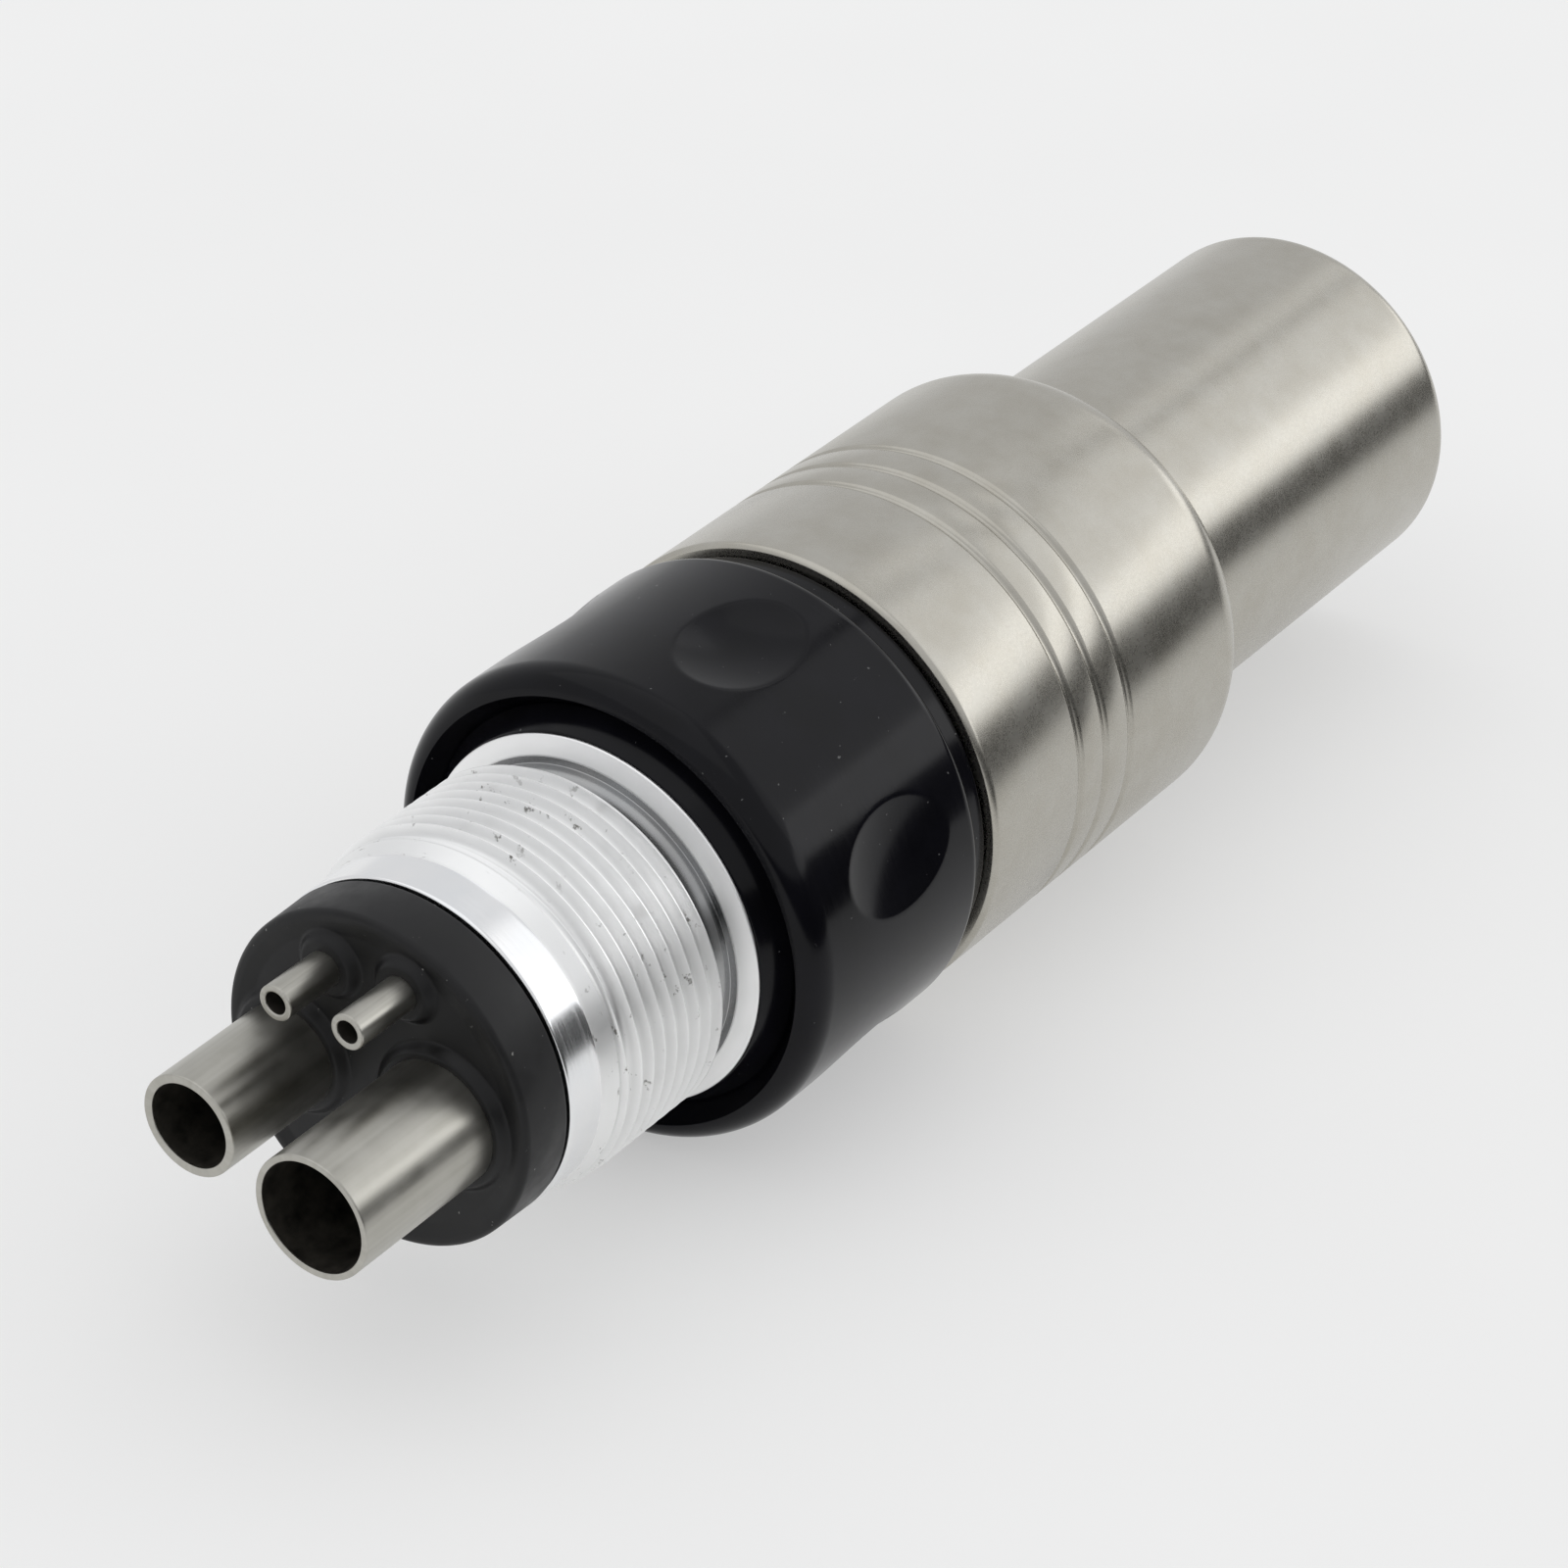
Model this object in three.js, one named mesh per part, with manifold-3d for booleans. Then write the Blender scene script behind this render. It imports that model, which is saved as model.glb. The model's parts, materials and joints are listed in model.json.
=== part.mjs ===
// Air-driven dental handpiece motor lying on its side.
// Millimetres, +Z up. The motor's axis runs along +X: hose tubes at -X, handpiece nose at +X.
// A "station" is a distance along that axis, counted from the rear face of the hose connector.

import * as THREE from 'three';
import { mergeVertices } from 'three/addons/utils/BufferGeometryUtils.js';
import Module from 'manifold-3d';

const wasm = await Module();
wasm.setup();

// ---------- driving dimensions ----------

const AXIS_HEIGHT = 8.5;
const MID_STATION = 22.375;
const SIDES = 24;
const INNER_SIDES = 16;
const SMALL_SIDES = 12;
const RUN_GAP = 0.1;
const REST_GAP = 0.15;
const SLIDE_GAP = 0.08;

// hose connector, half an inch across a fine thread
const BAND_R = 5.94;
const BAND_END = 1.5;
const THREAD_START = 2.75;
const THREAD_TURNS = 8;
const THREAD_PITCH = 0.6;
const THREAD_CREST_R = 6.35;
const THREAD_ROOT_R = 5.98;
const THREAD_RUNOUT = 0.1;
const UNDERCUT_R = 5.7;
const UNDERCUT_END = 8.6;
const FLANGE_R = 6.6;
const FLANGE_END = 8.95;
const SPIGOT_R = 6.0;
const SPIGOT_END = 11.9;
const TUBE_SEAT = 7.8;

// gasket in front of the connector
const GASKET_R = 5.85;
const GASKET_FRONT = -2.1;
const GASKET_BACK = -0.1;
const GASKET_BOSS_HEIGHT = 0.35;

// tubes: place across the axis, outer and bore radius, mouth station
const TUBES = {
  exhaust_tube: { y: -2.6, z: -0.3, r: 2.13, bore: 1.9, mouth: -8.35, sides: INNER_SIDES },
  drive_air_tube: { y: 3.3, z: -0.2, r: 1.77, bore: 1.46, mouth: -7.0, sides: INNER_SIDES },
  water_tube: { y: 1.6, z: 3.65, r: 0.61, bore: 0.385, mouth: -4.65, sides: SMALL_SIDES },
  chip_air_tube: { y: -1.35, z: 3.88, r: 0.61, bore: 0.385, mouth: -4.85, sides: SMALL_SIDES },
};

// forward and reverse control ring, turning on the valve core
const RING_R = 8.5;
const RING_FRONT = 9.3;
const RING_END = 18.7;
const RING_BORE_R = 7.3;
const RING_LIP_START = 10.1;
const RING_LIP_END = 10.45;
const RING_LIP_R = 6.5;
const DIMPLE_COUNT = 6;
const DIMPLE_STATION = 14.45;
const DIMPLE_FIRST_ANGLE = 103;
const DIMPLE_DEPTH = 0.38;
const DIMPLE_SWEEP_R = 9.65;
const POCKET_STATION = 14.8;
const POCKET_HALF_WIDTH = 0.9;
const POCKET_HALF_ANGLE = 50;
const POCKET_FLOOR_R = 7.75;
const RETAINER_R = 7.15;

// valve core
const VALVE_R = 7.2;
const VALVE_FRONT = 10.6;
const VALVE_SOCKET_END = 12.2;
const VALVE_STEP = 19.65;
const VALVE_SPIGOT_R = 7.1;
const VALVE_END = 21.2;
const AIR_PORT_ANGLE = 70;
const AIR_PASSAGE_R = 5.35;
const AIR_PASSAGE_BORE_R = 0.5;
const DRIVE_PASSAGE_R = 1.3;
const POCKET_FEED_R = 0.85;
const MUFFLER = [13.0, 20.6];
const MUFFLER_WALL = 0.6;
const ORING_GROOVE_DEPTH = 0.8;
const ORING_SECTION_R = 0.36;
const ORING_DEPTH = 0.42;
const FRONT_ORING_STATION = 12.9;
const REAR_ORING_STATION = 17.95;
const CASE_ORING_STATION = 20.4;

// ball detent under the control ring
const DETENT_STATION = 16.6;
const DETENT_BALL_R = 0.5;
const DETENT_HOLE_R = 0.56;
const DETENT_HOLE_FLOOR = 5.2;
const DETENT_GROOVE_R = 7.62;

// motor case
const CASE_R = 8.42;
const CASE_START = 19.74;
const SPACER_R = 8.0;
const CASE_BORE_R = 7.2;
const CASE_ROUND_START = 34.3;
const CASE_END = 35.8;
const CASE_NECK_R = 5.6;
const CASE_WALL_START = 33.9;
const CASE_FACE_R = 6.85;
const CASE_EDGE = 0.14;
const CASE_GROOVES = [24.9, 26.45, 28.0];
const CASE_GROOVE_HALF_WIDTH = 0.18;
const CASE_GROOVE_DEPTH = 0.15;

// air motor inside the case
const STACK_R = 7.1;
const REAR_PLATE = [21.9, 23.95];
const LINER = [24.1, 31.4];
const FRONT_PLATE = [31.55, 33.3];
const PLATE_LIP_R = 2.9;
const REAR_LIP = 0.25;
const FRONT_LIP = 0.2;
const PLATE_PORT_R = 0.38;
const LINER_BORE_R = 5.6;
const LINER_OFFSET = 0.45;
const LINER_SLOTS = [26, 27.75, 29.5];
const LINER_SLOT_LENGTH = 0.9;
const LINER_SLOT_WIDTH = 3;
const LINER_SLOT_FLOOR = 5.5;
const ROTOR = [24.25, 31.25];
const ROTOR_R = 4.9;
const VANE_COUNT = 4;
const VANE_THICKNESS = 0.6;
const VANE_TIP_R = 5.03;
const VANE_FOOT_R = 2.6;
const VANE_SLOT_GAP = 0.14;
const BEARING_WIDTH = 1.5;
const BEARING_R = 4.0;
const BALL_CIRCLE_R = 2.85;
const BALL_R = 0.47;
const BALL_COUNT = 7;
const REAR_BEARING = 22.05;
const FRONT_BEARING = 31.8;
const WASHER = [33.42, 33.72];
const WASHER_BORE_R = 3.4;
const WASHER_R = 6.6;
const CIRCLIP = [21.66, 21.9];
const CIRCLIP_R = 2.2;
const REAR_PIN = [22.6, 25.4];
const FRONT_PIN = [30.1, 32.9];
const PIN_R = 0.42;
const PIN_Y = -6.2;

// shaft and drive dog
const SHAFT_R = 1.7;
const SHAFT_START = 21.45;
const SHAFT_END = 45.5;
const SPRING_SEAT = [40.3, 40.8];
const SPRING_SEAT_R = 2.4;
const DOG_SPRING_R = 2.12;
const DOG_SPRING_WIRE_R = 0.13;
const DOG_SPRING_TURNS = 3;
const DOG_R = 2.7;
const DOG = [43.0, 48.6];
const DOG_BORE_END = 46.9;
const DOG_SLOT_START = 47.3;
const DOG_SLOT_WIDTH = 1.5;
const DOG_TIP_BORE_R = 0.9;
const DOG_VENT_R = 0.6;
const DOG_PIN_STATION = 44.4;
const DOG_PIN_R = 0.4;
const DOG_TRAVEL = 1.2;

// nose barrel
const NOSE_R = 6.65;
const NOSE_START = 34.0;
const NOSE_SHOULDER = 35.95;
const NOSE_END = 53.1;
const NOSE_ROUND = 0.8;
const NOSE_ORING_STATION = 34.9;
const SHAFT_SEAL = [34.2, 35.2];
const BUSHING = [38.4, 39.8];
const NOSE_BORE_R = 4.7;
const NOSE_BORE_START = 40.0;
const NOSE_NECK_BORE_R = 2.5;
const SEAL_POCKET_R = 3.3;
const SEAL_POCKET_END = 35.4;

// ---------- materials ----------

const FINISHES = {
  chrome: { color: 0xd6d8da, roughness: 0.18, metalness: 1 },
  satinSteel: { color: 0xb4b0a8, roughness: 0.38, metalness: 1 },
  tubeSteel: { color: 0xa8a6a2, roughness: 0.32, metalness: 1 },
  gearSteel: { color: 0x8e8e90, roughness: 0.3, metalness: 1 },
  gunmetal: { color: 0x6c6d70, roughness: 0.45, metalness: 1 },
  bronze: { color: 0xa9793c, roughness: 0.4, metalness: 1 },
  glossBlack: { color: 0x101012, roughness: 0.16, metalness: 0 },
  vaneResin: { color: 0x4b3222, roughness: 0.7, metalness: 0 },
  porous: { color: 0xcfc9bb, roughness: 0.9, metalness: 0 },
  rubber: { color: 0x1a1a1b, roughness: 0.7, metalness: 0 },
};

// ---------- solids ----------

function toSolid(geometry) {
  const bare = geometry.clone();
  bare.deleteAttribute('normal');
  bare.deleteAttribute('uv');
  const merged = mergeVertices(bare, 1e-5);
  const corners = merged.index.array;
  const kept = [];
  for (let i = 0; i < corners.length; i += 3) {
    const [a, b, c] = [corners[i], corners[i + 1], corners[i + 2]];
    if (a !== b && b !== c && c !== a) {
      kept.push(a, b, c);
    }
  }
  const vertProperties = new Float32Array(merged.attributes.position.array);
  const triVerts = new Uint32Array(kept);
  return new wasm.Manifold(new wasm.Mesh({ numProp: 3, vertProperties, triVerts }));
}

function toGeometry(solid) {
  const mesh = solid.getMesh();
  const geometry = new THREE.BufferGeometry();
  geometry.setAttribute('position', new THREE.BufferAttribute(mesh.vertProperties, 3));
  geometry.setIndex(new THREE.BufferAttribute(mesh.triVerts, 1));
  geometry.computeVertexNormals();
  return geometry;
}

// A solid of revolution about the motor's axis. The outline's points are [station, radius],
// rearmost inner corner first, then outward and forward. Radii are measured to the flats,
// and a flat faces each of +-Y and +-Z.
function turned(outline, sides = SIDES) {
  const flatToCorner = 1 / Math.cos(Math.PI / sides);
  const points = outline.map(([station, radius]) => new THREE.Vector2(radius * flatToCorner, station));
  if (outline[0][1] > 0) {
    points.push(points[0].clone());
  }
  const geometry = new THREE.LatheGeometry(points, sides, Math.PI / sides);
  geometry.rotateZ(-Math.PI / 2);
  return toSolid(geometry);
}

function rod(start, end, radius, sides = INNER_SIDES) {
  return turned([[start, 0], [start, radius], [end, radius], [end, 0]], sides);
}

function sleeve(start, end, bore, radius, sides = INNER_SIDES) {
  return turned([[start, bore], [start, radius], [end, radius], [end, bore]], sides);
}

// A quarter of an ellipse in an outline, from one angle to another in degrees,
// where 0 points forward along the axis and 90 points outward.
function rounded(station, radius, length, height, from, to, steps) {
  return Array.from({ length: steps + 1 }, (_, i) => {
    const angle = THREE.MathUtils.degToRad(from + ((to - from) * i) / steps);
    return [station + length * Math.cos(angle), radius + height * Math.sin(angle)];
  });
}

// Turns a geometry that points along +Y to an angle about the axis, then moves it forward.
function aimed(geometry, station, angle) {
  geometry.rotateX(THREE.MathUtils.degToRad(angle));
  geometry.translate(station, 0, 0);
  return toSolid(geometry);
}

function spoke(station, angle, from, to, radius, sides = SMALL_SIDES) {
  const geometry = new THREE.CylinderGeometry(radius, radius, to - from, sides);
  geometry.translate(0, (from + to) / 2, 0);
  return aimed(geometry, station, angle);
}

function slab(range, angle, from, to, width) {
  const geometry = new THREE.BoxGeometry(range[1] - range[0], to - from, width);
  geometry.translate(0, (from + to) / 2, 0);
  return aimed(geometry, (range[0] + range[1]) / 2, angle);
}

// The shift that moves a solid off the axis, by a radius and an angle.
function across(radius, angle) {
  const radians = THREE.MathUtils.degToRad(angle);
  return [0, radius * Math.cos(radians), radius * Math.sin(radians)];
}

function oring(middle, radius) {
  return turned(rounded(middle, radius, ORING_SECTION_R, ORING_SECTION_R, 240, -60, 5));
}

class Helix extends THREE.Curve {
  constructor(start, end, radius, turns) {
    super();
    Object.assign(this, { start, end, radius, turns });
  }

  getPoint(t, target = new THREE.Vector3()) {
    const angle = 2 * Math.PI * this.turns * t;
    const along = THREE.MathUtils.lerp(this.start, this.end, t);
    return target.set(along, this.radius * Math.cos(angle), this.radius * Math.sin(angle));
  }
}

function coil(start, end, radius, wire, turns) {
  const section = new THREE.Shape();
  section.absarc(0, 0, wire, 0, 2 * Math.PI, false);
  const extrudePath = new Helix(start, end, radius, turns);
  return new THREE.ExtrudeGeometry(section, { steps: turns * 8, curveSegments: 3, extrudePath });
}

// ---------- hose end ----------

function tubeHoles(solid, start, end, clearance, names) {
  return names.reduce((rest, name) => {
    const { y, z, r, sides } = TUBES[name];
    return rest.subtract(rod(start, end, r + clearance, sides).translate([0, y, z]));
  }, solid);
}

function hoseGasket() {
  let gasket = turned([
    [GASKET_FRONT, 0],
    [GASKET_FRONT, GASKET_R - 0.15],
    [GASKET_FRONT + 0.15, GASKET_R],
    [GASKET_BACK, GASKET_R],
    [GASKET_BACK, 0],
  ]);
  for (const { y, z, r, sides } of Object.values(TUBES)) {
    const boss = turned([
      [GASKET_FRONT - GASKET_BOSS_HEIGHT, 0],
      [GASKET_FRONT - GASKET_BOSS_HEIGHT, r + 0.3],
      [GASKET_FRONT + 0.4, r + 0.75],
      [GASKET_FRONT + 0.4, 0],
    ], sides);
    gasket = gasket.add(boss.translate([0, y, z]));
  }
  return tubeHoles(gasket, GASKET_FRONT - 1, 0, RUN_GAP / 2, Object.keys(TUBES));
}

function tube({ y, z, r, bore, mouth, sides }) {
  return sleeve(mouth, TUBE_SEAT, bore, r, sides).translate([0, y, z]);
}

function connectorBody() {
  const outline = [
    [0, 0],
    [0, BAND_R - 0.12],
    [0.12, BAND_R],
    [BAND_END, BAND_R],
    [THREAD_START, THREAD_CREST_R],
  ];
  for (let turn = 0; turn < THREAD_TURNS; turn += 1) {
    const crest = THREAD_START + turn * THREAD_PITCH;
    outline.push([crest + THREAD_PITCH / 2, THREAD_ROOT_R], [crest + THREAD_PITCH, THREAD_CREST_R]);
  }
  const threadEnd = THREAD_START + THREAD_TURNS * THREAD_PITCH + THREAD_RUNOUT;
  outline.push(
    [threadEnd, UNDERCUT_R],
    [UNDERCUT_END, UNDERCUT_R],
    [UNDERCUT_END + 0.26, FLANGE_R],
    [FLANGE_END, FLANGE_R],
    [FLANGE_END, SPIGOT_R],
    [SPIGOT_END, SPIGOT_R],
    [SPIGOT_END, 0],
  );
  const bored = tubeHoles(turned(outline), -1, TUBE_SEAT + 0.2, RUN_GAP / 2, Object.keys(TUBES));
  return ['exhaust_tube', 'drive_air_tube'].reduce((rest, name) => {
    const { y, z, bore } = TUBES[name];
    return rest.subtract(rod(TUBE_SEAT, SPIGOT_END + 1, bore).translate([0, y, z]));
  }, bored);
}

function ringRetainer() {
  return turned([
    [FLANGE_END + REST_GAP, SPIGOT_R + RUN_GAP],
    [FLANGE_END + REST_GAP, FLANGE_R],
    [FLANGE_END + 0.9, RETAINER_R],
    [RING_LIP_START - REST_GAP, RETAINER_R],
    [RING_LIP_START - REST_GAP, RING_LIP_R - RUN_GAP],
    [RING_LIP_END, RING_LIP_R - RUN_GAP],
    [RING_LIP_END, SPIGOT_R + RUN_GAP],
  ]);
}

// ---------- control ring and valve ----------

function controlRing() {
  const ring = turned([
    [RING_LIP_START, RING_LIP_R],
    [RING_LIP_START, RETAINER_R + RUN_GAP],
    ...rounded(RING_FRONT + 1, 7.6, 1, RING_R - 7.6, 180, 90, 5),
    ...rounded(RING_END - 0.5, RING_R - 0.5, 0.5, 0.5, 90, 0, 3),
    [RING_END, RING_BORE_R],
    [DETENT_STATION + 0.65, RING_BORE_R],
    [DETENT_STATION + 0.65, DETENT_GROOVE_R],
    [DETENT_STATION - 0.65, DETENT_GROOVE_R],
    [DETENT_STATION - 0.65, RING_BORE_R],
    [RING_LIP_END, RING_BORE_R],
    [RING_LIP_END, RING_LIP_R],
  ]);
  return airPocket(dimpled(ring));
}

function dimpled(ring) {
  let cut = ring;
  for (let i = 0; i < DIMPLE_COUNT; i += 1) {
    const ball = new THREE.SphereGeometry(DIMPLE_SWEEP_R, 16, 30);
    ball.translate(0, RING_R - DIMPLE_DEPTH + DIMPLE_SWEEP_R, 0);
    cut = cut.subtract(aimed(ball, DIMPLE_STATION, DIMPLE_FIRST_ANGLE + (360 / DIMPLE_COUNT) * i));
  }
  return cut;
}

// The pocket in the ring's bore joins the air inlet to one of the two ports beside it.
function airPocket(ring) {
  const pocketEnds = [POCKET_STATION - POCKET_HALF_WIDTH, POCKET_STATION + POCKET_HALF_WIDTH];
  const floor = rod(...pocketEnds, POCKET_FLOOR_R);
  const steps = 8;
  const reach = RING_R * 2;
  const wedge = new THREE.Shape();
  wedge.moveTo(0, 0);
  for (let i = 0; i <= steps; i += 1) {
    const angle = THREE.MathUtils.degToRad(POCKET_HALF_ANGLE * ((2 * i) / steps - 1));
    wedge.lineTo(reach * Math.cos(angle), reach * Math.sin(angle));
  }
  const geometry = new THREE.ExtrudeGeometry(wedge, { depth: 4, bevelEnabled: false });
  geometry.rotateZ(Math.PI / 2);
  geometry.rotateY(Math.PI / 2);
  geometry.translate(POCKET_STATION - 2, 0, 0);
  return ring.subtract(floor.intersect(toSolid(geometry)));
}

function grooveOutline(middle, radius) {
  const half = ORING_GROOVE_DEPTH / 2 + 0.02;
  return [
    [middle - half, radius],
    [middle - half, radius - ORING_GROOVE_DEPTH],
    [middle + half, radius - ORING_GROOVE_DEPTH],
    [middle + half, radius],
  ];
}

function valveCore() {
  let core = turned([
    [VALVE_SOCKET_END, 0],
    [VALVE_SOCKET_END, SPIGOT_R + RUN_GAP],
    [VALVE_FRONT, SPIGOT_R + RUN_GAP],
    [VALVE_FRONT, VALVE_R],
    ...grooveOutline(FRONT_ORING_STATION, VALVE_R),
    ...grooveOutline(REAR_ORING_STATION, VALVE_R),
    [VALVE_STEP, VALVE_R],
    [VALVE_STEP, VALVE_SPIGOT_R],
    ...grooveOutline(CASE_ORING_STATION, VALVE_SPIGOT_R),
    [VALVE_END, VALVE_SPIGOT_R],
    [VALVE_END, 0],
  ]);
  const { exhaust_tube: exhaust, drive_air_tube: drive } = TUBES;
  const outside = VALVE_R + 0.5;
  const pocketEnd = POCKET_STATION + POCKET_HALF_WIDTH;
  const drivePassage = rod(VALVE_FRONT, pocketEnd, DRIVE_PASSAGE_R, SMALL_SIDES);
  const cuts = [
    rod(VALVE_FRONT, VALVE_END + 1, exhaust.bore).translate([0, exhaust.y, exhaust.z]),
    drivePassage.translate([0, drive.y, drive.z]),
    spoke(POCKET_STATION, 0, drive.y, outside, POCKET_FEED_R),
    spoke(DETENT_STATION, 180, DETENT_HOLE_FLOOR, outside, DETENT_HOLE_R),
  ];
  for (const angle of [AIR_PORT_ANGLE, -AIR_PORT_ANGLE]) {
    const passage = rod(POCKET_STATION, VALVE_END + 1, AIR_PASSAGE_BORE_R, SMALL_SIDES);
    cuts.push(spoke(POCKET_STATION, angle, AIR_PASSAGE_R, outside, AIR_PASSAGE_BORE_R));
    cuts.push(passage.translate(across(AIR_PASSAGE_R, angle)));
  }
  for (const cut of cuts) {
    core = core.subtract(cut);
  }
  return core;
}

function exhaustMuffler() {
  const { y, z, bore } = TUBES.exhaust_tube;
  return sleeve(...MUFFLER, bore - MUFFLER_WALL, bore - RUN_GAP / 2).translate([0, y, z]);
}

function detentBall() {
  const ball = new THREE.SphereGeometry(DETENT_BALL_R, 12, 8);
  ball.translate(0, DETENT_GROOVE_R - 0.12 - DETENT_BALL_R, 0);
  return aimed(ball, DETENT_STATION, 180);
}

function detentSpring() {
  const geometry = coil(0, 1.1, 0.36, 0.08, 4);
  geometry.rotateZ(Math.PI / 2);
  geometry.translate(0, DETENT_HOLE_FLOOR + 0.12, 0);
  return aimed(geometry, DETENT_STATION, 180);
}

// ---------- motor case and air motor ----------

function caseSpacer() {
  return sleeve(RING_END + REST_GAP, VALVE_STEP, VALVE_R + RUN_GAP / 2, SPACER_R, SIDES);
}

function motorCase() {
  const outline = [
    [CASE_START, CASE_BORE_R],
    [CASE_START, CASE_R - CASE_EDGE],
    [CASE_START + CASE_EDGE, CASE_R],
  ];
  for (const groove of CASE_GROOVES) {
    outline.push([groove - CASE_GROOVE_HALF_WIDTH, CASE_R], [groove, CASE_R - CASE_GROOVE_DEPTH]);
    outline.push([groove + CASE_GROOVE_HALF_WIDTH, CASE_R]);
  }
  const [roundLength, roundHeight] = [CASE_END - CASE_ROUND_START, CASE_R - CASE_FACE_R];
  outline.push(
    ...rounded(CASE_ROUND_START, CASE_FACE_R, roundLength, roundHeight, 90, 0, 6),
    [CASE_END, CASE_NECK_R],
    [CASE_WALL_START, CASE_NECK_R],
    [CASE_WALL_START, CASE_BORE_R],
  );
  return turned(outline);
}

function locatingPin(range) {
  return rod(...range, PIN_R, SMALL_SIDES).translate([0, PIN_Y, 0]);
}

function pinHole(range) {
  return rod(range[0], range[1], PIN_R + 0.05, SMALL_SIDES).translate([0, PIN_Y, 0]);
}

function rearEndPlate() {
  const [start, end] = REAR_PLATE;
  let plate = turned([
    [start, BEARING_R + RUN_GAP],
    [start, STACK_R],
    [end, STACK_R],
    [end, PLATE_LIP_R],
    [end - REAR_LIP, PLATE_LIP_R],
    [end - REAR_LIP, BEARING_R + RUN_GAP],
  ]);
  for (const angle of [AIR_PORT_ANGLE, -AIR_PORT_ANGLE]) {
    const port = rod(start - 1, end + 1, PLATE_PORT_R, SMALL_SIDES);
    plate = plate.subtract(port.translate(across(AIR_PASSAGE_R, angle)));
  }
  return plate.subtract(pinHole([REAR_PIN[0] - 0.1, end + 1]));
}

function frontEndPlate() {
  const [start, end] = FRONT_PLATE;
  const plate = turned([
    [start, PLATE_LIP_R],
    [start, STACK_R],
    [end, STACK_R],
    [end, BEARING_R + RUN_GAP],
    [start + FRONT_LIP, BEARING_R + RUN_GAP],
    [start + FRONT_LIP, PLATE_LIP_R],
  ]);
  return plate.subtract(pinHole([start - 1, FRONT_PIN[1] + 0.1]));
}

function cylinderLiner() {
  const [start, end] = LINER;
  let liner = rod(start, end, STACK_R, SIDES);
  const bore = rod(start - 1, end + 1, LINER_BORE_R, SIDES);
  liner = liner.subtract(bore.translate([0, LINER_OFFSET, 0]));
  for (const middle of LINER_SLOTS) {
    const ends = [middle - LINER_SLOT_LENGTH / 2, middle + LINER_SLOT_LENGTH / 2];
    liner = liner.subtract(slab(ends, 0, LINER_SLOT_FLOOR, STACK_R + 1, LINER_SLOT_WIDTH));
  }
  liner = liner.subtract(pinHole([start - 1, REAR_PIN[1] + 0.1]));
  return liner.subtract(pinHole([FRONT_PIN[0] - 0.1, end + 1]));
}

function rotorDrum() {
  const ends = [ROTOR[0] - 1, ROTOR[1] + 1];
  const slotWidth = VANE_THICKNESS + VANE_SLOT_GAP;
  let drum = sleeve(...ROTOR, SHAFT_R + RUN_GAP / 2, ROTOR_R);
  for (let i = 0; i < VANE_COUNT; i += 1) {
    drum = drum.subtract(slab(ends, vaneAngle(i), VANE_FOOT_R - 0.2, ROTOR_R + 1, slotWidth));
  }
  return drum;
}

function vaneAngle(i) {
  return 45 + (360 / VANE_COUNT) * i;
}

function vane(i) {
  return slab([ROTOR[0] + 0.1, ROTOR[1] - 0.1], vaneAngle(i), VANE_FOOT_R, VANE_TIP_R, VANE_THICKNESS);
}

// One row of balls between two races. Returns the races and the caged balls.
function bearing(start) {
  const end = start + BEARING_WIDTH;
  const middle = (start + end) / 2;
  const outer = turned([
    [start, 3.2], [start, BEARING_R], [end, BEARING_R], [end, 3.2],
    [middle + 0.42, 3.2], [middle, 3.46], [middle - 0.42, 3.2],
  ], INNER_SIDES);
  const inner = turned([
    [start, SHAFT_R + RUN_GAP / 2], [start, 2.5], [middle - 0.42, 2.5], [middle, 2.24],
    [middle + 0.42, 2.5], [end, 2.5], [end, SHAFT_R + RUN_GAP / 2],
  ], INNER_SIDES);
  let balls = sleeve(middle - 0.22, middle + 0.22, BALL_CIRCLE_R - 0.13, BALL_CIRCLE_R + 0.13);
  for (let i = 0; i < BALL_COUNT; i += 1) {
    const ball = new THREE.SphereGeometry(BALL_R, 8, 5);
    ball.translate(0, BALL_CIRCLE_R, 0);
    balls = balls.add(aimed(ball, middle, (360 / BALL_COUNT) * i));
  }
  return { outer, inner, balls };
}

// ---------- shaft, drive dog and nose ----------

function rotorShaft() {
  const shaft = turned([
    [SHAFT_START, 0],
    [SHAFT_START, SHAFT_R - 0.2],
    [SHAFT_START + 0.2, SHAFT_R],
    [SHAFT_END - 0.2, SHAFT_R],
    [SHAFT_END, SHAFT_R - 0.2],
    [SHAFT_END, 0],
  ], INNER_SIDES);
  const slotEnds = [DOG_PIN_STATION - DOG_TRAVEL - 0.55, DOG_PIN_STATION + 0.5];
  return shaft.subtract(slab(slotEnds, 90, -SHAFT_R - 1, SHAFT_R + 1, 2 * DOG_PIN_R + 0.1));
}

function driveDog() {
  const dog = turned([
    [DOG[0], SHAFT_R + RUN_GAP],
    [DOG[0], DOG_R - 0.2],
    [DOG[0] + 0.2, DOG_R],
    [DOG[1] - 0.3, DOG_R],
    [DOG[1], DOG_R - 0.3],
    [DOG[1], DOG_TIP_BORE_R],
    [DOG_SLOT_START, DOG_TIP_BORE_R],
    [DOG_SLOT_START, DOG_VENT_R],
    [DOG_BORE_END, DOG_VENT_R],
    [DOG_BORE_END, SHAFT_R + RUN_GAP],
  ], INNER_SIDES);
  const slot = slab([DOG_SLOT_START, DOG[1] + 1], 0, -DOG_R - 1, DOG_R + 1, DOG_SLOT_WIDTH);
  const pinBore = spoke(DOG_PIN_STATION, 90, -DOG_R - 1, DOG_R + 1, DOG_PIN_R + 0.05, 12);
  return dog.subtract(slot).subtract(pinBore);
}

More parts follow.
